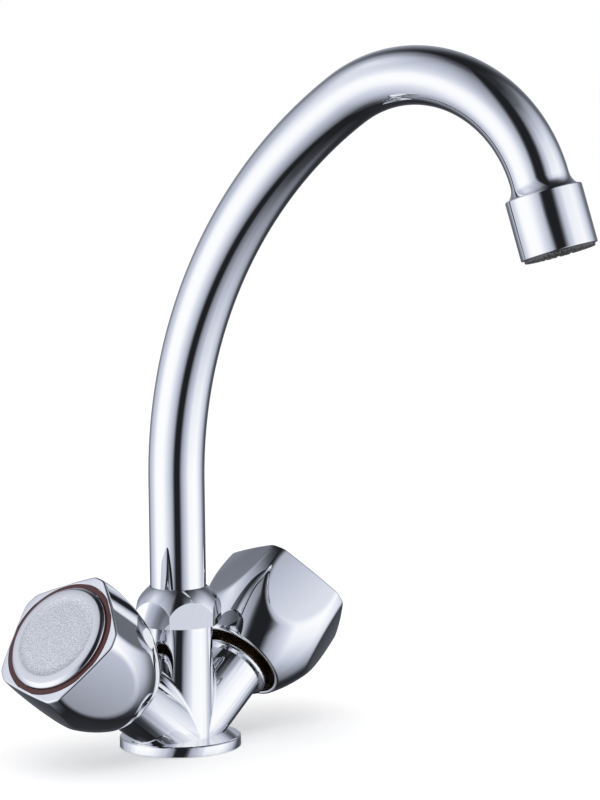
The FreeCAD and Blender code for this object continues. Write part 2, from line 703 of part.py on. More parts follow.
def make_valve_housing(label):
    body = new_body(label)
    turned(body, [
        ("housing_bore_radius", "seat_distance + fit_gap"),
        ("housing_lower_radius", "seat_distance + fit_gap"),
        ("housing_lower_radius", "valve_thread_start + fit_gap"),
        ("valve_thread_radius", "valve_thread_start + fit_gap"),
        ("valve_thread_radius", "valve_hex_top"),
        ("valve_neck_radius", "valve_hex_top"),
        ("valve_neck_radius", "neck_top"),
        ("spindle_radius + running_gap", "neck_top"),
        ("spindle_radius + running_gap", "housing_ceiling"),
        ("housing_bore_radius", "housing_ceiling"),
    ])
    extruded(body, ring_of_points("valve_corner_radius", 6), "valve_hex_height",
             lift="valve_washer_top")
    turned(body, rectangle("0", "valve_washer_top - 1", "spindle_radius + running_gap",
                           "neck_top + 1"), cut=True)
    # stop lug under the ceiling, let into the wall
    extruded(body, sector("stop_radius", "housing_bore_radius + stop_play / 3", "stop_half_width"),
             "housing_ceiling - stop_bottom + fit_gap", lift="stop_bottom")
    # side windows let the water out round the moving disc
    extruded(body, rectangle("-housing_window_width / 2", "moving_disc_bottom",
                             "housing_window_width / 2", "moving_disc_top"),
             "housing_lower_radius * 3", plane="YZ_Plane", cut=True, both=True)
    return body


def make_spindle(label):
    """Foot with its driving tongue, sealed stem, clip groove and splined end."""
    body = new_body(label)
    turned(body, [
        ("0", "moving_disc_top + face_gap"),
        ("disc_radius - running_gap", "moving_disc_top + face_gap"),
        ("disc_radius - running_gap", "foot_top"),
        ("spindle_radius", "foot_top"),
        ("spindle_radius", "spindle_groove_height"),
        ("spindle_radius - spindle_groove_depth", "spindle_groove_height"),
        ("spindle_radius - spindle_groove_depth", "spindle_groove_height + spindle_groove_width"),
        ("spindle_radius", "spindle_groove_height + spindle_groove_width"),
        ("spindle_radius", "clip_bottom"),
        ("clip_seat_radius", "clip_bottom"),
        ("clip_seat_radius", "clip_top + face_gap"),
        ("spindle_radius", "clip_top + face_gap"),
        ("spindle_radius", "spline_start"),
        ("spline_radius", "spline_start"),
        ("spline_radius", "spindle_top"),
        ("screw_radius + thread_gap", "spindle_top"),
        ("screw_radius + thread_gap", "spindle_drill_end"),
        ("0", "spindle_drill_end - screw_radius"),
    ])
    extruded(body, rectangle("-disc_radius * 0.9", "-drive_slot_width / 2 + fit_gap",
                             "disc_radius * 0.9", "drive_slot_width / 2 - fit_gap"),
             "drive_slot_depth", lift="moving_disc_top - drive_slot_depth + face_gap")
    # the foot is notched for the stop lug, which bears on one end of the notch while shut
    extruded(body, sector("stop_radius - running_gap * 2", "disc_radius * 1.2",
                          "stop_notch_half_angle", "-stop_travel / 2"),
             "stop_height + fit_gap", lift="foot_top", cut=True)
    groove = extruded(body, [
        ("spline_radius - spline_depth", "0"),
        ("spline_radius * 1.1", "-spline_half_width"),
        ("spline_radius * 1.1", "spline_half_width"),
    ], "spline_length", lift="spindle_top", cut=True)
    repeated(body, [groove], "spline_teeth")
    return body


def make_fixed_disc(label):
    body = new_body(label)
    turned(body, rectangle("0", "disc_seal_top", "disc_radius", "fixed_disc_top"))
    port = extruded(body, sector("disc_port_inner", "disc_port_outer", "disc_port_half_angle"),
                    "disc_thickness", lift="fixed_disc_top", cut=True)
    repeated(body, [port], "2")
    return body


def make_moving_disc(label):
    """Its two notches lie a quarter turn from the fixed disc's ports while the valve is shut."""
    body = new_body(label)
    turned(body, rectangle("0", "moving_disc_bottom", "disc_radius - running_gap",
                           "moving_disc_top"))
    notch = extruded(body, [
        ("-disc_port_inner", "disc_port_inner"),
        ("disc_port_inner", "disc_port_inner"),
        ("disc_radius * tan(disc_port_half_angle)", "disc_radius"),
        ("0", "disc_radius * 1.1"),
        ("-disc_radius * tan(disc_port_half_angle)", "disc_radius"),
    ], "disc_thickness", lift="moving_disc_top", cut=True)
    repeated(body, [notch], "2")
    extruded(body, rectangle("-disc_radius * 1.1", "-drive_slot_width / 2",
                             "disc_radius * 1.1", "drive_slot_width / 2"),
             "drive_slot_depth", lift="moving_disc_top", cut=True)
    return body


# Knob, drawn with its height along the arm ------------------------------------------------------

def make_knob(label):
    """Five sided hollow knob with a barrel curve, a hub for the spindle and a seat for its index."""
    body = new_body(label)
    turned(body, [
        ("0", "knob_rim"),
        ("knob_rim_radius", "knob_rim", "knob_side_radius"),
        ("knob_face_radius", "knob_face"),
        ("0", "knob_face"),
    ])
    flat = extruded(body, [
        ("facet_distance", "knob_face"),
        ("facet_distance + facet_spread", "knob_rim"),
        ("facet_outer", "knob_rim"),
        ("facet_outer", "knob_face"),
    ], "facet_outer * 2", plane="XZ_Plane", cut=True, both=True)
    repeated(body, [flat], "knob_facets")
    rim, face = value("knob_rim"), value("knob_face")
    crests = edges_where(body.Shape, lambda middle, kinds: len(kinds) == 2
                         and rim + 0.1 < middle.z < face - 0.1)
    filleted(body, crests, "facet_edge")
    outline = edges_where(body.Shape, lambda middle, kinds: abs(middle.z - face) < 0.001)
    filleted(body, outline, "knob_edge")
    turned(body, [
        ("hub_radius", "knob_rim - 1"),
        ("knob_rim_radius - knob_rim_wall", "knob_rim - 1"),
        ("knob_rim_radius - knob_rim_wall", "knob_rim", "knob_side_radius / 2"),
        ("knob_cavity_radius", "cavity_full"),
        ("knob_cavity_radius", "web_bottom"),
        ("hub_radius", "web_bottom"),
    ], cut=True)
    turned(body, [
        ("0", "knob_rim - 1"),
        ("hub_radius", "knob_rim - 1"),
        ("hub_radius", "hub_start"),
        ("bush_radius + fit_gap", "hub_start"),
        ("bush_radius + fit_gap", "bush_top"),
        ("screw_radius + thread_gap", "bush_top"),
        ("screw_radius + thread_gap", "screw_head_seat"),
        ("screw_head_radius + thread_gap", "screw_head_seat"),
        ("screw_head_radius + thread_gap", "cap_seat"),
        ("cap_radius + fit_gap", "cap_seat"),
        ("cap_radius + fit_gap", "ring_seat"),
        ("ring_radius + fit_gap", "ring_seat"),
        ("ring_radius + fit_gap", "knob_face + 1"),
        ("0", "knob_face + 1"),
    ], cut=True)
    return body


def make_spline_bush(label):
    body = new_body(label)
    turned(body, [
        ("spline_radius + fit_gap", "bush_start"),
        ("bush_radius", "bush_start"),
        ("bush_radius", "bush_top"),
        ("screw_radius + thread_gap", "bush_top"),
        ("screw_radius + thread_gap", "spindle_top + face_gap"),
        ("spline_radius + fit_gap", "spindle_top + face_gap"),
    ])
    return body


def make_knob_screw(label):
    body = new_body(label)
    turned(body, [
        ("0", "screw_tip"),
        ("screw_radius", "screw_tip"),
        ("screw_radius", "screw_head_seat"),
        ("screw_head_radius", "screw_head_seat"),
        ("screw_head_radius", "screw_head_seat + screw_head_height"),
        ("0", "screw_head_seat + screw_head_height"),
    ])
    slot = extruded(body, rectangle("-screw_head_radius / 2", "-screw_slot_width / 2",
                                    "screw_head_radius / 2", "screw_slot_width / 2"),
                    "screw_head_height / 2", lift="screw_head_seat + screw_head_height", cut=True)
    repeated(body, [slot], "4")
    return body


def make_index_cap(label):
    """Thin round cap with a rounded edge and a slightly sunken middle."""
    body = new_body(label)
    turned(body, [
        ("0", "cap_top - cap_dish_depth"),
        ("cap_dish_radius", "cap_top - cap_dish_depth"),
        ("cap_dish_radius + cap_dish_depth", "cap_top"),
        ("cap_radius - cap_edge", "cap_top - cap_border_fall", "-cap_edge"),
        ("cap_radius", "cap_top - cap_border_fall - cap_edge"),
        ("cap_radius", "cap_seat + fit_gap"),
        ("cap_radius - cap_wall", "cap_seat + fit_gap"),
        ("cap_radius - cap_wall", "cap_top - cap_wall - cap_dish_depth"),
        ("0", "cap_top - cap_wall - cap_dish_depth"),
    ])
    return body


def make_valve(side):
    """Everything on one arm, as a list of bodies on the arm's own axis."""
    fixed = [
        make_valve_housing(f"{side}_valve_housing"),
        ring(f"{side}_valve_washer", "valve_thread_radius + fit_gap * 2", "valve_washer_radius",
             "arm_length", "valve_washer_top"),
        make_fixed_disc(f"{side}_fixed_disc"),
        ring(f"{side}_disc_seal", "disc_radius - disc_seal_wall", "disc_radius",
             "seat_distance", "disc_seal_top"),
    ]
    groove_floor = "spindle_radius - spindle_groove_depth + fit_gap"
    turning = [
        make_spindle(f"{side}_spindle"),
        make_moving_disc(f"{side}_moving_disc"),
        ring(f"{side}_thrust_washer", "spindle_radius + fit_gap", "stop_radius - running_gap * 2",
             "foot_top", "thrust_washer_top"),
        ring(f"{side}_spindle_seal", groove_floor, "spindle_radius",
             "spindle_groove_height + fit_gap",
             "spindle_groove_height + spindle_groove_width - fit_gap"),
        ring(f"{side}_spindle_clip", "clip_seat_radius + fit_gap", "clip_radius",
             "clip_bottom + face_gap", "clip_top"),
        make_spline_bush(f"{side}_spline_bush"),
        make_knob_screw(f"{side}_knob_screw"),
        ring(f"{side}_index_ring", "cap_radius + fit_gap * 2", "ring_radius", "ring_seat",
             "knob_face"),
        make_index_cap(f"{side}_index_cap"),
    ]
    return fixed + turning, make_knob(f"{side}_knob")


# Assembly -------------------------------------------------------------------------------------

make_casting()
ring("base_seal", "foot_seal_radius - foot_seal_width", "foot_seal_radius", "0",
     "foot_seal_height")
make_spout_nut()
ring("spout_slip_ring", "tube_radius + thread_gap", "column_radius",
     "collar_top + face_gap", "nut_ceiling")

swing = Placement(Vector(), Rotation(Vector(0, 0, 1), value("spout_turn - 90")))
for part in (make_spout_tube(), make_spout_tail(), make_spout_seals()):
    part.Placement = swing

at_tube_end = swing.multiply(Placement(
    Vector(value("tube_end_reach"), 0, value("tube_end_height")),
    Rotation(Vector(0, 1, 0), value("spout_slope_at_end"))))
outlet_parts = [
    make_outlet(),
    make_aerator_housing(),
    ring("aerator_washer", "outlet_bore_radius", "outlet_thread_radius", "outlet_thread_length",
         "core_top"),
    make_aerator_core(),
    make_aerator_screen(),
]
for part in outlet_parts:
    part.Placement = at_tube_end

for side, lean in (("hot", -1), ("cold", 1)):
    along_arm = Placement(Vector(0, 0, value("arm_root_height")),
                          Rotation(Vector(0, 1, 0), lean * value("90 - arm_slope")))
    valve_parts, knob = make_valve(side)
    for part in valve_parts:
        part.Placement = along_arm
    turn = Rotation(Vector(0, 0, 1), value(f"{side}_knob_turn"))
    knob.Placement = along_arm.multiply(Placement(Vector(), turn))

doc.recompute()

# Check and write --------------------------------------------------------------------------------

bodies = [item for item in doc.Objects if item.TypeId == "PartDesign::Body"]
for item in doc.Objects:
    if "Invalid" in item.State or "Error" in item.State:
        raise RuntimeError(f"{item.Label} failed: {item.State}")
for body in bodies:
    if body.Shape.isNull() or not body.Shape.isValid():
        raise RuntimeError(f"{body.Label} has no valid solid")

os.makedirs("parts", exist_ok=True)
for body in bodies:
    body.Shape.exportStep(f"parts/{body.Label}.step")
    print(f"{body.Label}: {len(body.Shape.Solids)} solid, {body.Shape.Volume:.1f} mm3")
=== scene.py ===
import json
import math

import bmesh
import bpy
import numpy as np
from mathutils import Matrix, Vector


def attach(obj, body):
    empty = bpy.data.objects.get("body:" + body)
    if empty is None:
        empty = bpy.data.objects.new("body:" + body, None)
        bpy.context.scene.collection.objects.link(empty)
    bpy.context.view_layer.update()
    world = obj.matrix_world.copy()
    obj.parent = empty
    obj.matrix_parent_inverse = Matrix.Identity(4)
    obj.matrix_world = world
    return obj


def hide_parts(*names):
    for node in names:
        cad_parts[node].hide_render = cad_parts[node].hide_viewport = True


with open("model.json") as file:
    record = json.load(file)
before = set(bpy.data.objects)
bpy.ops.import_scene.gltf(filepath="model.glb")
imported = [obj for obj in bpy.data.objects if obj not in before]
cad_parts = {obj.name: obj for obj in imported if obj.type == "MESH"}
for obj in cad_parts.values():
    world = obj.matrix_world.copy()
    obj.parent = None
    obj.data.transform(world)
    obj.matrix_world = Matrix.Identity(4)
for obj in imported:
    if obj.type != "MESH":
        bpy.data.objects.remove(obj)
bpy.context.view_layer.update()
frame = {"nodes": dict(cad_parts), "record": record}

MM = 0.001

# sizes of the CAD part that the finer pieces follow, in millimetres and degrees
ARM_SLOPE = 37.0
ARM_ROOT = 2.8
RIM = 41.9
FACE = 82.4
RING_R = 23.6
RING_DEPTH = 1.2
KNOB_EDGE = 0.9
FLATS = 5
FLAT_DISTANCE = 24.4
FLAT_DRAFT = 1.5
BARREL_R = 61.0
HOT_TURN, COLD_TURN = 23.8, 17.9
SPOUT_TURN = 10.0
TUBE_R = 11.0
TUBE_WALL = 1.0
TUBE_START = 57.1
HOUSING_R = 14.45
HOUSING_LENGTH = 22.4

# finer than in the CAD part: the cap's outline and the outlet's flare
CAP_TOP = FACE + 2.4
CAP_R = 21.5
CAP_CREST = 0.3
DISH_R = 17.0
BORDER_R = 19.9
FLARE_R = 13.1
FLARE_START = -4.6


# ---------------------------------------------------------------- frames
def arm_frame(side, turn=0.0):
    lean = math.radians(90 - ARM_SLOPE) * (-1 if side == "hot" else 1)
    place = Matrix.Translation((0, 0, ARM_ROOT)) @ Matrix.Rotation(lean, 4, "Y")
    return place @ Matrix.Rotation(math.radians(turn), 4, "Z")


SWING = Matrix.Rotation(math.radians(SPOUT_TURN - 90), 4, "Z")


def spout_path():
    """Points (reach, height) and headings of the tube's middle line."""
    points, headings = [np.array([0.0, TUBE_START])], [0.0]
    heading = 0.0
    for length in (105.1 - TUBE_START, (181.2, 55.65), (53.3, 107.05), 4.8):
        point = points[-1]
        if isinstance(length, float):
            ahead = np.array([math.sin(heading), math.cos(heading)])
            for step in range(1, 4):
                points.append(point + ahead * length * step / 3)
                headings.append(heading)
            continue
        radius, turn = length
        start = heading
        middle = point + np.array([math.cos(heading), -math.sin(heading)]) * radius
        for step in range(1, 71):
            heading = start + math.radians(turn) * step / 70
            points.append(middle + np.array([-math.cos(heading), math.sin(heading)]) * radius)
            headings.append(heading)
    return points, headings


PATH, HEADINGS = spout_path()
OUTLET = (SWING @ Matrix.Translation((PATH[-1][0], 0, PATH[-1][1]))
          @ Matrix.Rotation(HEADINGS[-1], 4, "Y"))


# ---------------------------------------------------------------- meshes
def new_object(name, verts, faces, place, sharp=35):
    """Mesh of points in millimetres, closed up and with its faces turned outwards."""
    mesh = bpy.data.meshes.new(name)
    mesh.from_pydata([tuple((place @ Vector(v)) * MM) for v in verts], [], faces)
    grid = bmesh.new()
    grid.from_mesh(mesh)
    bmesh.ops.remove_doubles(grid, verts=grid.verts, dist=1e-7)
    bmesh.ops.dissolve_degenerate(grid, edges=grid.edges, dist=1e-8)
    bmesh.ops.recalc_face_normals(grid, faces=grid.faces)
    grid.to_mesh(mesh)
    grid.free()
    mesh.shade_smooth()
    mesh.set_sharp_from_angle(angle=math.radians(sharp))
    obj = bpy.data.objects.new(name, mesh)
    bpy.context.scene.collection.objects.link(obj)
    return obj


def joined_rows(rows, around, first=0, closed=False):
    """Faces between rows of points; every row goes once round."""
    faces = []
    for row in range(rows if closed else rows - 1):
        a, b = first + row * around, first + (row + 1) % rows * around
        for k in range(around):
            j = (k + 1) % around
            faces.append((a + k, a + j, b + j, b + k))
    return faces


def softened(outline, radius=0.3, steps=4):
    """Outline of (r, z) with each corner rounded; a third number gives a corner its own radius."""
    out = []
    for i, corner in enumerate(outline):
        p = np.array(corner[:2], float)
        r = corner[2] if len(corner) > 2 else radius
        before = np.array(outline[i - 1][:2], float) - p
        after = np.array(outline[(i + 1) % len(outline)][:2], float) - p
        lb, la = np.linalg.norm(before), np.linalg.norm(after)
        before, after = before / lb, after / la
        half = math.acos(max(-1, min(1, before @ after))) / 2
        if r <= 0 or half > math.radians(88):
            out.append(tuple(p))
            continue
        cut = min(r / math.tan(half), 0.45 * lb, 0.45 * la)
        a, b = p + before * cut, p + after * cut
        for k in range(steps + 1):
            t = k / steps
            out.append(tuple(a * (1 - t) ** 2 + p * 2 * t * (1 - t) + b * t ** 2))
    return out


def lathe(name, outline, place, around=144, notch=None):
    """Closed outline of (radius, height) turned about Z; notch moves a point by its angle."""
    verts = []
    for r, z in outline:
        for k in range(around):
            angle = 2 * math.pi * k / around
            low = notch(r, z, k) if notch else z
            verts.append((r * math.cos(angle), r * math.sin(angle), low))
    return new_object(name, verts, joined_rows(len(outline), around, closed=True), place)


# ---------------------------------------------------------------- finishes
class Finish:
    """A material, with short ways to add and link its nodes."""

    def __init__(self, name):
        self.material = bpy.data.materials.new(name)
        self.material.use_nodes = True
        self.tree = self.material.node_tree
        self.shader = self.tree.nodes["Principled BSDF"]
        self.place = self.add("ShaderNodeTexCoord").outputs["Object"]

    def add(self, kind, **values):
        node = self.tree.nodes.new(kind)
        for key, val in values.items():
            if key in node.inputs.keys():
                node.inputs[key].default_value = val
            else:
                setattr(node, key, val)
        return node

    def link(self, a, b):
        self.tree.links.new(a, b)

    def noise(self, scale, detail=3.0):
        node = self.add("ShaderNodeTexNoise", Scale=scale, Detail=detail)
        self.link(self.place, node.inputs["Vector"])
        return node.outputs["Fac"]

    def spread(self, value, low, high, start=0.0, end=1.0):
        node = self.add("ShaderNodeMapRange")
        for socket, number in zip(node.inputs[1:5], (start, end, low, high)):
            socket.default_value = number
        self.link(value, node.inputs["Value"])
        return node.outputs["Result"]

    def shades(self, value, dark, light, start=0.3, end=0.7):
        node = self.add("ShaderNodeValToRGB")
        for element, at, color in zip(node.color_ramp.elements, (start, end), (dark, light)):
            element.position = at
            element.color = (*color, 1)
        self.link(value, node.inputs["Fac"])
        return node.outputs["Color"]

    def either(self, amount, first, second):
        """Colour mix; first and second are colours or outputs."""
        node = self.add("ShaderNodeMix", data_type="RGBA")
        self.link(amount, node.inputs[0])
        for socket, item in ((node.inputs[6], first), (node.inputs[7], second)):
            if isinstance(item, tuple):
                socket.default_value = (*item, 1)
            else:
                self.link(item, socket)
        return node.outputs[2]

    def bump(self, value, strength, distance):
        node = self.add("ShaderNodeBump", Strength=strength, Distance=distance)
        self.link(value, node.inputs["Height"])
        self.link(node.outputs["Normal"], self.shader.inputs["Normal"])


BRIGHT = (0.84, 0.85, 0.87)


def chrome(name, wave):
    f = Finish(name)
    f.shader.inputs["Metallic"].default_value = 1.0
    f.shader.inputs["Base Color"].default_value = (*BRIGHT, 1)
    f.link(f.spread(f.noise(45, 5), 0.015, 0.035, 0.35, 0.75), f.shader.inputs["Roughness"])
    f.bump(f.noise(60, 2), wave, 0.0002)
    return f.material


def knob_chrome():
    """Polished outside; in the hollow, by the mesh's "hollow" values, dull and a dark warm brown
    that is partly bare metal and partly painted shade with a painted reflection of the brass.
    """
    f = Finish("knob_chrome")
    f.shader.inputs["Metallic"].default_value = 1.0
    hollow = f.add("ShaderNodeAttribute", attribute_name="hollow").outputs["Fac"]
    # painted shade: the hollow's dark warm brown also stands in for shade and for the brass's
    # reflection
    cast_and_shade = f.shades(f.noise(500), (0.17, 0.14, 0.12), (0.42, 0.34, 0.29))
    f.link(f.either(hollow, BRIGHT, cast_and_shade), f.shader.inputs["Base Color"])
    f.link(f.spread(hollow, 0.03, 0.3), f.shader.inputs["Roughness"])
    f.link(f.spread(hollow, 1.0, 0.35), f.shader.inputs["Metallic"])
    f.bump(f.noise(60, 2), 0.06, 0.0002)
    return f.material


def satin_cap():
    """Satin top with a frosted middle over a polished wall, by the mesh's own values."""
    f = Finish("satin_cap")
    f.shader.inputs["Metallic"].default_value = 1.0
    satin = f.add("ShaderNodeAttribute", attribute_name="satin").outputs["Fac"]
    frost = f.add("ShaderNodeAttribute", attribute_name="frost").outputs["Fac"]
    grain = f.noise(1900, 2)
    speckle = f.shades(grain, (0.72, 0.73, 0.77), (1.0, 1.0, 1.0), 0.42, 0.62)
    top = f.either(frost, (0.86, 0.87, 0.90), speckle)
    f.link(f.either(satin, BRIGHT, top), f.shader.inputs["Base Color"])
    f.link(f.spread(satin, 0.04, 0.42), f.shader.inputs["Roughness"])
    f.link(f.spread(satin, 1.0, 0.82), f.shader.inputs["Metallic"])
    height = f.add("ShaderNodeMath", operation="MULTIPLY")
    f.link(grain, height.inputs[0])
    f.link(frost, height.inputs[1])
    f.bump(height.outputs["Value"], 0.9, 0.0002)
    return f.material


def plain(name, color, rough, metallic=0.0, grain=700, vary=0.15):
    """Moulded or turned surface with a fine tonal grain."""
    f = Finish(name)
    f.shader.inputs["Metallic"].default_value = metallic
    speck = f.noise(grain, 4)
    f.link(f.shades(speck, tuple(c * (1 - vary) for c in color), color),
           f.shader.inputs["Base Color"])
    f.link(f.spread(speck, max(0.02, rough - 0.05), rough + 0.08), f.shader.inputs["Roughness"])
    return f.material


CHROME = chrome("polished_chrome", 0.05)
FINISHES = {
    "chrome_casting": CHROME,
    "chrome_spout": chrome("spout_chrome", 0.03),
    "chrome_knob": knob_chrome(),
    "chrome_aerator": CHROME,
    "satin_cap": satin_cap(),
    "hot_ring": plain("hot_ring", (0.085, 0.022, 0.022), 0.35, grain=900),
    "cold_ring": plain("cold_ring", (0.015, 0.04, 0.16), 0.35, grain=900),
    # brass darkened well below bright brass: partly a dull unplated tone, partly painted shade for
    # the brass seen under the knobs
    "brass": plain("brass", (0.34, 0.23, 0.11), 0.33, metallic=1.0, grain=400),
    "rubber": plain("rubber", (0.025, 0.025, 0.027), 0.7, grain=1500),
    "fibre": plain("fibre", (0.30, 0.08, 0.05), 0.8, grain=1500),
    "ceramic": plain("ceramic", (0.85, 0.84, 0.80), 0.15, grain=900),
    "white_plastic": plain("white_plastic", (0.78, 0.78, 0.76), 0.45),
    "grey_plastic": plain("grey_plastic", (0.15, 0.15, 0.16), 0.3, grain=1200, vary=0.85),
    "steel": plain("steel", (0.52, 0.53, 0.54), 0.3, metallic=1.0, grain=600),
}

slots = {row["node"]: row["material_slot"] for row in frame["record"]["subparts"]}
for node, obj in frame["nodes"].items():
    obj.data.materials.clear()
    obj.data.materials.append(FINISHES[slots[node]])


def dress(obj, node, body):
    """Give a finer piece its node's finish and place in the part, and let it ride the body."""
    obj.data.materials.append(FINISHES[slots[node]])
    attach(obj, body)
    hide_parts(node)


def paint(obj, name, place, amount):
    """Store amount(radius, height) in the piece's own frame on every point."""
    back = place.inverted()
    values = obj.data.attributes.new(name, "FLOAT", "POINT")
    for i, vertex in enumerate(obj.data.vertices):
        p = back @ (vertex.co / MM)
        values.data[i].value = amount(math.hypot(p.x, p.y), p.z)


# the nut's and the casting's faces are joined; the edges' width is clamped to almost nothing
for node, width in (("spout_nut", 0.4), ("body_casting", 0.2)):
    frame["nodes"][node].modifiers.new("joined", "WELD").merge_threshold = 1e-6
    edge = frame["nodes"][node].modifiers.new("edge", "BEVEL")
    edge.width = width * MM
    edge.segments = 3
    edge.limit_method = "ANGLE"
    edge.angle_limit = math.radians(28)
    edge.harden_normals = True


# ---------------------------------------------------------------- spout
def make_tube():
    around = 96
    verts = []
    stations = list(zip(PATH, HEADINGS))
    for radius, row in ((TUBE_R, stations), (TUBE_R - TUBE_WALL, stations[::-1])):
        for point, heading in row:
            for k in range(around):
                angle = 2 * math.pi * k / around
                across = radius * math.cos(angle)
                verts.append((point[0] + across * math.cos(heading), radius * math.sin(angle),
                              point[1] - across * math.sin(heading)))
    faces = joined_rows(len(verts) // around, around, closed=True)
    dress(new_object("spout_tube_fine", verts, faces, SWING), "spout_tube", "spout")


make_tube()

# the flare rises out of the tube in a hollow curve
flare = [(TUBE_R + 0.03, FLARE_START, 0)]
for step in range(1, 11):
    t = step / 10
    flare.append((TUBE_R + 0.05 + 1.95 * t ** 2.1, FLARE_START + 4.45 * t, 0))
outlet = lathe("spout_outlet_fine", softened(flare + [
    (FLARE_R, -0.05, 0.05), (12.0, -0.05, 0.05), (12.0, 8.0, 0.2), (9.5, 8.0, 0.2), (9.5, 0.0, 0.1),
    (TUBE_R + 0.03, 0.0, 0.05)]), OUTLET)
dress(outlet, "spout_outlet", "spout")

housing = lathe("aerator_housing_fine", softened([
    (12.1, 0.0, 0.1), (HOUSING_R, 0.0, 0.7), (HOUSING_R, HOUSING_LENGTH, 1.0),
    (13.35, HOUSING_LENGTH, 0.1), (13.35, 17.4, 0.1), (12.1, 17.4, 0.1)], steps=7), OUTLET)
dress(housing, "aerator_housing", "spout")


def teeth(r, z, k):
    """Shallow uneven notches round the lower rim of the aerator's core."""
    if z > 22.6 and r > 11.8:
        return z - 0.5 * max(0.0, math.sin(k * 0.7) + 0.6 * math.sin(k * 0.31)) / 1.6
    return z


core = lathe("aerator_core_fine", softened([
    (10.85, 9.6, 0.1), (12.05, 9.6, 0.1), (12.05, 17.45, 0.1), (13.3, 17.45, 0.1),
    (13.3, 23.5, 0.3), (11.9, 23.6, 0.1), (11.7, 23.2, 0.1), (9.65, 23.2, 0.1),
    (9.65, HOUSING_LENGTH, 0.1), (10.85, HOUSING_LENGTH, 0.1)]), OUTLET, 288, teeth)
dress(core, "aerator_core", "spout")


# ---------------------------------------------------------------- knobs
def soft_min(a, b, k):
    """Lower of the two, rounded over where they cross."""
    h = np.clip(0.5 + 0.5 * (b - a) / k, 0, 1)
    return b * (1 - h) + a * h - k * h * (1 - h)


def barrel(s):
    """Side radius of the knob before its flats."""
    low, high = np.array([19.0, RIM]), np.array([27.6, FACE])
    half = (high - low) / 2
    length = np.linalg.norm(half)
    inward = np.array([-half[1], half[0]]) / length
    centre = low + half + inward * math.sqrt(BARREL_R ** 2 - length ** 2)
    return centre[0] + math.sqrt(BARREL_R ** 2 - (s - centre[1]) ** 2)


def knob_radius(theta, s):
    """Radius of the side at height s: five slightly crowned flats cut into the barrel."""
    flats = None
    for k in range(FLATS):
        turn = theta - 2 * math.pi * k / FLATS
        c = np.maximum(np.cos(turn), 0.2)
        angle = np.clip(np.angle(np.exp(1j * turn)), -0.75, 0.75)
        across = np.tan(angle) * 24
        crown = 0.26 - 0.0025 * across ** 2 - 0.0013 * (s - FACE + 14) ** 2
        plane = FLAT_DISTANCE + (FACE - s) * math.tan(math.radians(FLAT_DRAFT)) + crown
        r = np.where(np.cos(turn) > 0.2, plane / c, 200.0)
        flats = r if flats is None else soft_min(flats, r, 1.4)
    return soft_min(flats, barrel(s) + 0 * theta, 0.6)


def make_knob(side, turn):
    around = 360
    theta = np.linspace(0, 2 * math.pi, around, endpoint=False)
    rows = [(17.7, RIM + 0.15), (17.95, RIM), (knob_radius(theta, RIM) - 0.25, RIM)]
    rows += [(knob_radius(theta, s), s) for s in np.linspace(RIM + 0.25, FACE - 1.2, 90)]
    base = knob_radius(theta, FACE - KNOB_EDGE)
    for k in range(1, 7):
        a = math.pi / 2 * k / 6
        rows.append((base - KNOB_EDGE * (1 - math.cos(a)),
                     FACE - KNOB_EDGE + KNOB_EDGE * math.sin(a)))
    # the seats of ring and cap
    rows += [(RING_R + 0.3, FACE), (RING_R + 0.05, FACE - 0.25),
             (RING_R + 0.05, FACE - RING_DEPTH), (CAP_R + 0.05, FACE - RING_DEPTH),
             (CAP_R + 0.05, FACE - 3.0), (0.0, FACE - 3.0)]
    hollow = [(17.7, RIM + 0.15), (19.6, 47.0), (21.2, 52.0), (21.8, 56.0), (21.8, 76.2),
              (7.5, 76.2), (7.5, 57.2), (5.95, 57.2), (5.95, 71.0), (0.0, 71.0)]
    verts = []
    for r, z in rows + hollow:
        r = r + 0 * theta
        verts += [(r[k] * math.cos(theta[k]), r[k] * math.sin(theta[k]), z) for k in range(around)]
    faces = joined_rows(len(rows), around)
    faces += joined_rows(len(hollow), around, len(rows) * around)
    place = arm_frame(side, turn)
    obj = new_object(f"{side}_knob_fine", verts, faces, place)

    def inside(r, z):
        walls = [w for w in hollow if w[1] >= RIM + 0.5]
        return 1.0 if any(abs(r - wr) < 0.05 and abs(z - wz) < 0.05 for wr, wz in walls) else 0.0

    # the hollow's points take the knob finish's dark brown, partly painted shade
    paint(obj, "hollow", place, inside)
    dress(obj, f"{side}_knob", f"{side}_handle")


def make_cap(side):
    # a gently domed middle, a small step and a smooth border that falls away
    outline = [(r, CAP_TOP + CAP_CREST - 0.45 * (r / DISH_R) ** 2)
               for r in (0.0, 3.4, 6.8, 10.2, 13.6, 16.95)]
    outline += [(17.15, CAP_TOP - 0.03), (17.3, CAP_TOP)]
    outline += [(17.3 + 2.6 * t, CAP_TOP - 0.3 * t * t) for t in np.linspace(0.1, 1, 8)]
    # the polished shoulder: slope in degrees and length of each step
    r, z = outline[-1]
    for slope, length in ((20, 0.15), (28, 0.25), (35, 0.35), (39, 0.4), (42, 0.4), (46, 0.3),
                          (53, 0.2), (65, 0.15), (80, 0.15)):
        r += length * math.cos(math.radians(slope))
        z -= length * math.sin(math.radians(slope))
        outline.append((min(r, CAP_R), z))
    outline += [(CAP_R, FACE - 2.9), (19.8, FACE - 2.9), (19.8, CAP_TOP - 1.8),
                (0.0, CAP_TOP - 1.8)]
    place = arm_frame(side)
    obj = lathe(f"{side}_index_cap_fine", outline, place, 180)
    for name, reach in (("satin", BORDER_R + 0.05), ("frost", DISH_R)):
        paint(obj, name, place,
              lambda r, z, reach=reach: 1.0 if r < reach and z > CAP_TOP - 0.9 else 0.0)
    dress(obj, f"{side}_index_cap", f"{side}_handle")


for side, turn in (("hot", HOT_TURN), ("cold", COLD_TURN)):
    make_knob(side, turn)
    make_cap(side)
    inner = CAP_R + 0.1
    band = lathe(f"{side}_index_ring_fine", softened([
        (inner, FACE - RING_DEPTH), (RING_R, FACE - RING_DEPTH), (RING_R, FACE), (inner, FACE)],
        0.25), arm_frame(side), 180)
    dress(band, f"{side}_index_ring", f"{side}_handle")


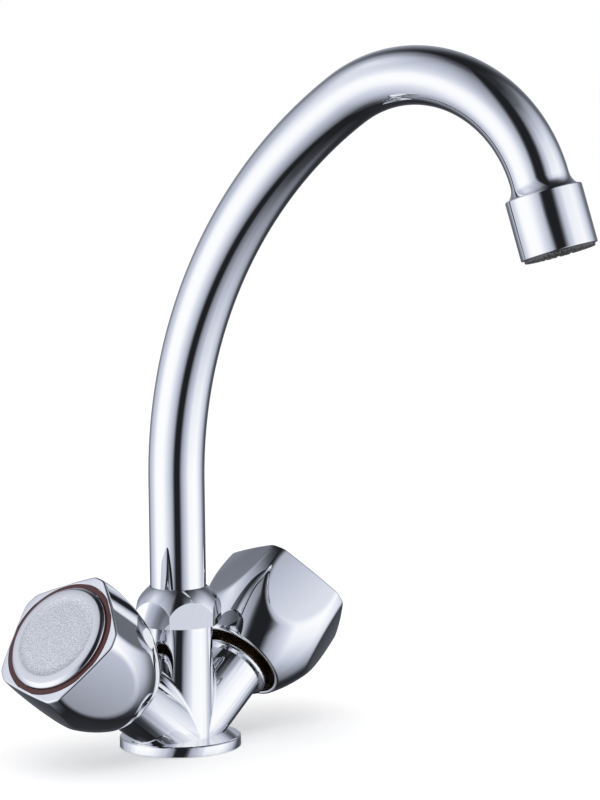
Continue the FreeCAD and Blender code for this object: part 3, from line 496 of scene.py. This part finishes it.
# ---------------------------------------------------------------- floor and light
def make_floor():
    mesh = bpy.data.meshes.new("floor")
    reach = 6.0
    corners = [(-reach, -reach, 0), (reach, -reach, 0), (reach, reach, 0), (-reach, reach, 0)]
    mesh.from_pydata(corners, [], [(0, 1, 2, 3)])
    floor = bpy.data.objects.new("floor", mesh)
    floor.location.z = -0.0002
    bpy.context.scene.collection.objects.link(floor)
    paper = Finish("paper")
    paper.shader.inputs["Base Color"].default_value = (0.93, 0.93, 0.93, 1)
    paper.shader.inputs["Roughness"].default_value = 0.9
    paper.shader.inputs["Specular IOR Level"].default_value = 0.0
    paper.shader.inputs["Emission Color"].default_value = (1, 1, 1, 1)
    seen = paper.add("ShaderNodeLightPath").outputs["Is Camera Ray"]
    paper.link(paper.spread(seen, 0.0, 0.24), paper.shader.inputs["Emission Strength"])
    mesh.materials.append(paper.material)
    floor.visible_glossy = False


make_floor()

# where the camera of the photograph stands, seen from the tap
CAMERA_SPOT = (-1.00048, -0.94776, 0.31161)
FRONT = math.degrees(math.atan2(CAMERA_SPOT[1], CAMERA_SPOT[0]))

# what polished metal shows: brightness by degrees round the tap, with 0 towards the camera and
# more to its right, and by degrees of height
LEFT_BOX = (
    ((-180, 0.0), (-158, 0.0), (-146, 0.15), (-134, 0.44), (-120, 0.60), (-108, 0.74),
     (-98, 0.92), (-88, 1.0), (-64, 1.0), (-52, 0.92), (-40, 0.74), (-28, 0.57), (-18, 0.36),
     (-12, 0.08), (-8, 0.0), (0, 0.0)),
    ((-90, 0.0), (-78, 0.06), (-68, 0.28), (-53, 0.55), (-38, 0.71), (-23, 0.93), (-10, 1.0),
     (6, 0.97), (22, 0.74), (37, 0.59), (52, 0.47), (66, 0.31), (78, 0.08), (90, 0.0)))
RIGHT_BOX = (
    ((0, 0.0), (10, 0.0), (14, 0.10), (20, 0.34), (30, 0.54), (40, 0.70), (50, 0.93),
     (84, 1.0), (98, 0.84), (112, 0.64), (122, 0.44), (130, 0.20), (138, 0.04), (150, 0.0)),
    ((-90, 0.0), (-78, 0.0), (-68, 0.05), (-53, 0.36), (-38, 0.66), (-23, 0.90), (-10, 1.0),
     (6, 0.99), (22, 0.92), (37, 0.76), (50, 0.42), (60, 0.13), (72, 0.02), (90, 0.0)))
BACK_WALL = (
    ((-180, 0.36), (-170, 0.34), (-158, 0.18), (-146, 0.15), (-134, 0.08), (-120, 0.0),
     (124, 0.0), (136, 0.08), (150, 0.14), (164, 0.26), (180, 0.36)),
    ((-90, 0.0), (-40, 0.04), (-24, 0.15), (-12, 0.40), (-3, 0.80), (5, 1.0), (16, 0.95),
     (27, 0.75), (40, 0.40), (54, 0.10), (66, 0.0), (90, 0.0)))
WINDOW = (
    ((-142, 0.0), (-107, 0.34), (-72, 0.0)),
    ((20, 0.0), (43, 1.0), (66, 0.0)))
# how far the dark in front of the tap covers the boxes, wider higher up
FRONT_GAP = (
    ((-25, 0.0), (-17, 0.8), (-11, 1.0), (9, 1.0), (16, 0.7), (28, 0.0)),
    ((2, 0.0), (10, 1.0)))
DARKEST = 0.015
GAIN = 1.15
DIFFUSE_GREY = (0.82, 0.82, 0.82)


class Studio:
    """World that is white to the camera and plain grey on matt surfaces. On polished metal it
    shows a tall soft box on each side, a window, a pale wall behind and darkness elsewhere."""

    def __init__(self):
        world = bpy.data.worlds.new("studio")
        bpy.context.scene.world = world
        world.use_nodes = True
        self.tree = world.node_tree
        self.tree.nodes.clear()

    def add(self, kind):
        return self.tree.nodes.new(kind)

    def math(self, kind, a, b=None):
        node = self.add("ShaderNodeMath")
        node.operation = kind
        for socket, item in zip(node.inputs, (a, b)):
            if isinstance(item, (int, float)):
                socket.default_value = item
            elif item is not None:
                self.tree.links.new(item, socket)
        return node.outputs[0]

    def band(self, value, stops):
        """Brightness along value, through (position, brightness or colour) stops."""
        node = self.add("ShaderNodeValToRGB")
        elements = node.color_ramp.elements
        elements.remove(elements[1])
        for index, (at, level) in enumerate(stops):
            element = elements[0] if index == 0 else elements.new(at)
            element.position = at
            element.color = (*(level if isinstance(level, tuple) else (level,) * 3), 1)
        self.tree.links.new(value, node.inputs[0])
        return node.outputs[0]

    def patch(self, across, height, sides, rise):
        """Light with soft edges: levels by degrees round the tap, and by degrees of height."""
        round_it = self.band(across, [(0.5 + d / 360, v) for d, v in sides])
        up_it = self.band(height, [(0.5 + d / 180, v) for d, v in rise])
        return self.math("MULTIPLY", round_it, up_it)

    def choose(self, when, no, yes):
        node = self.add("ShaderNodeMix")
        node.data_type = "RGBA"
        self.tree.links.new(when, node.inputs[0])
        for socket, item in ((node.inputs[6], no), (node.inputs[7], yes)):
            if isinstance(item, tuple):
                socket.default_value = (*item, 1)
            else:
                self.tree.links.new(item, socket)
        return node.outputs[2]

    def build(self):
        link = self.tree.links.new
        turn = self.add("ShaderNodeVectorRotate")
        turn.rotation_type = "Z_AXIS"
        turn.inputs["Angle"].default_value = -math.radians(FRONT)
        link(self.add("ShaderNodeTexCoord").outputs["Generated"], turn.inputs["Vector"])
        axes = self.add("ShaderNodeSeparateXYZ")
        link(turn.outputs[0], axes.inputs[0])
        # 0.5 is towards the front, and 0 and 1 meet behind the tap
        across = self.math("ADD", 0.5, self.math(
            "DIVIDE", self.math("ARCTAN2", axes.outputs["Y"], axes.outputs["X"]), 2 * math.pi))
        height = self.math("ADD", 0.5, self.math(
            "DIVIDE", self.math("ARCSINE", axes.outputs["Z"]), math.pi))
        left, right, back, window, gap = (
            self.patch(across, height, *spread)
            for spread in (LEFT_BOX, RIGHT_BOX, BACK_WALL, WINDOW, FRONT_GAP))
        sides = self.math("MULTIPLY", self.math("SUBTRACT", 1.0, gap),
                          self.math("ADD", left, right))
        glow = self.math("ADD", DARKEST, self.math("ADD", window, self.math("ADD", back, sides)))
        # dim light is a little cooler than full light
        tones = []
        for level, cool in ((0.0, 1), (0.55, 1), (0.8, 0.5), (1.0, 0)):
            shown = level * GAIN
            tones.append((level, (shown * (1 - 0.05 * cool), shown, shown * (1 + 0.17 * cool))))
        light = self.band(glow, tones)
        rays = self.add("ShaderNodeLightPath").outputs
        seen = self.choose(rays["Is Glossy Ray"], DIFFUSE_GREY, light)
        seen = self.choose(rays["Is Camera Ray"], seen, (1, 1, 1))
        background = self.add("ShaderNodeBackground")
        link(seen, background.inputs["Color"])
        link(background.outputs[0], self.add("ShaderNodeOutputWorld").inputs["Surface"])


Studio().build()

key_data = bpy.data.lights.new("key", "AREA")
key_data.size = 1.6
key_data.energy = 9
key = bpy.data.objects.new("key", key_data)
key.location = (-0.9, -0.6, 1.9)
key.rotation_euler = (Vector((0, -0.05, 0.1)) - key.location).to_track_quat("-Z", "Y").to_euler()
key.visible_glossy = False
bpy.context.scene.collection.objects.link(key)

# ---------------------------------------------------------------- camera
cam_data = bpy.data.cameras.new("camera")
cam_data.lens = 160.37
cam_data.sensor_width = 36
camera = bpy.data.objects.new("camera", cam_data)
right = Vector((0.66064178, -0.75062511, -0.0106951))
upward = Vector((0.10182364, 0.0754839, 0.99193454))
back = Vector((-0.74376366, -0.65640241, 0.1262992))
camera.matrix_world = Matrix.Translation(CAMERA_SPOT) @ Matrix(
    (right, upward, back)).transposed().to_4x4()
bpy.context.scene.collection.objects.link(camera)
bpy.context.scene.camera = camera
bpy.context.scene.view_settings.view_transform = "Standard"
